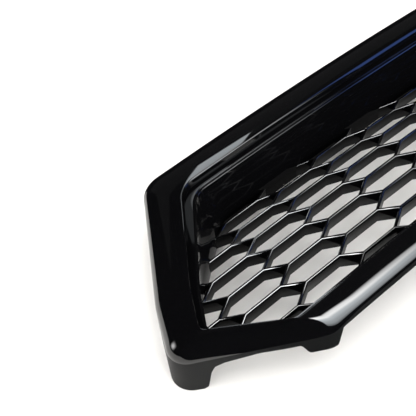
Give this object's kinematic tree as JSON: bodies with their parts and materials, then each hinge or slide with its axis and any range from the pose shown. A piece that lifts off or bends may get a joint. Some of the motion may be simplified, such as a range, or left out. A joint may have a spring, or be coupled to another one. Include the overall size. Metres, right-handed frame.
{
  "type": "car front grille",
  "caption": "Wide gloss-black car front grille: deep rounded surround, stepped insert and elongated honeycomb mesh, with clips and push retainers behind.",
  "frame": {"origin": "bottom centre of the box round the grille, on the plane it lies on", "axes": "+X along the grille, to the right as seen facing it; +Y up the car when fitted; +Z out of the face"},
  "size_m": [0.9102, 0.2454, 0.078],
  "materials": {
    "gloss_black": "high-gloss black moulded plastic, matt on the back and feet",
    "insert_black": "gloss black moulded plastic",
    "mesh_black": "gloss black moulded plastic with rounded rib edges",
    "zinc_steel": "zinc-plated steel",
    "black_nylon": "matt black nylon",
    "grey_nylon": "dark grey nylon",
    "spring_steel": "dark phosphated spring steel",
    "grey_foam": "dark grey closed-cell foam"
  },
  "bodies": {
    "grille": {"surround": "gloss_black", "insert_frame": "insert_black", "honeycomb_mesh": "mesh_black", "screw_01": "zinc_steel", "screw_02": "zinc_steel", "screw_03": "zinc_steel", "screw_04": "zinc_steel", "screw_05": "zinc_steel", "screw_06": "zinc_steel", "screw_07": "zinc_steel", "screw_08": "zinc_steel", "screw_09": "zinc_steel", "screw_10": "zinc_steel", "screw_11": "zinc_steel", "screw_12": "zinc_steel", "spring_clip_1l": "spring_steel", "spring_clip_2l": "spring_steel", "spring_clip_1r": "spring_steel", "spring_clip_2r": "spring_steel", "retainer_body_1l": "black_nylon", "retainer_body_2l": "black_nylon", "retainer_body_1r": "black_nylon", "retainer_body_2r": "black_nylon", "foam_strip_top": "grey_foam", "foam_strip_bottom": "grey_foam"},
    "pin_1l": {"retainer_pin_1l": "grey_nylon"},
    "pin_2l": {"retainer_pin_2l": "grey_nylon"},
    "pin_1r": {"retainer_pin_1r": "grey_nylon"},
    "pin_2r": {"retainer_pin_2r": "grey_nylon"}
  },
  "joints": [
    {"name": "pin_1l_slide", "type": "slide", "parent": "grille", "child": "pin_1l", "axis": [0, 1, 0], "range_m": [0, 0.006]},
    {"name": "pin_2l_slide", "type": "slide", "parent": "grille", "child": "pin_2l", "axis": [0, 1, 0], "range_m": [0, 0.006]},
    {"name": "pin_1r_slide", "type": "slide", "parent": "grille", "child": "pin_1r", "axis": [0, 1, 0], "range_m": [0, 0.006]},
    {"name": "pin_2r_slide", "type": "slide", "parent": "grille", "child": "pin_2r", "axis": [0, 1, 0], "range_m": [0, 0.006]}
  ]
}
